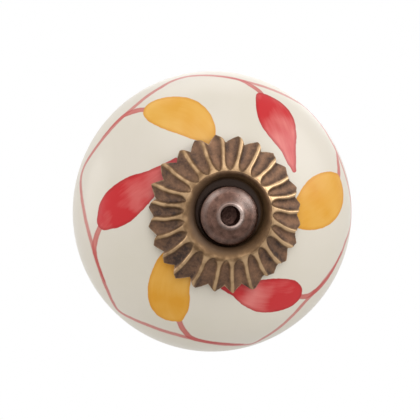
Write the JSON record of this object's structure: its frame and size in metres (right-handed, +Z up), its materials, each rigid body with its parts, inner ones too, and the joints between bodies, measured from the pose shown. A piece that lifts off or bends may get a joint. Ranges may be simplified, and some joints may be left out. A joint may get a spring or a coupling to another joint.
{
  "type": "cabinet knob",
  "caption": "Round glazed ceramic knob with painted leaves, a fluted brass rosette and a domed bolt head, fixed by a threaded bolt, washer and nut through a drawer front.",
  "frame": {"origin": "centre of the ferrule's back face, which lies on the drawer front", "axes": "+Z up, the knob's front faces -Y, the bolt runs along +Y into the drawer front"},
  "size_m": [0.04, 0.0656, 0.04],
  "materials": {
    "glazed_ceramic": "cream glaze, hand-painted",
    "antique_brass": "dark patina, worn bright on the high spots",
    "gunmetal_steel": "turned and darkened",
    "plated_steel": "zinc plated"
  },
  "bodies": {
    "root": {"ceramic_body": "glazed_ceramic", "fluted_rosette": "antique_brass", "centre_bolt": "gunmetal_steel", "rear_ferrule": "antique_brass", "clamp_nut": "plated_steel", "panel_washer": "plated_steel", "panel_nut": "plated_steel"}
  },
  "joints": []
}
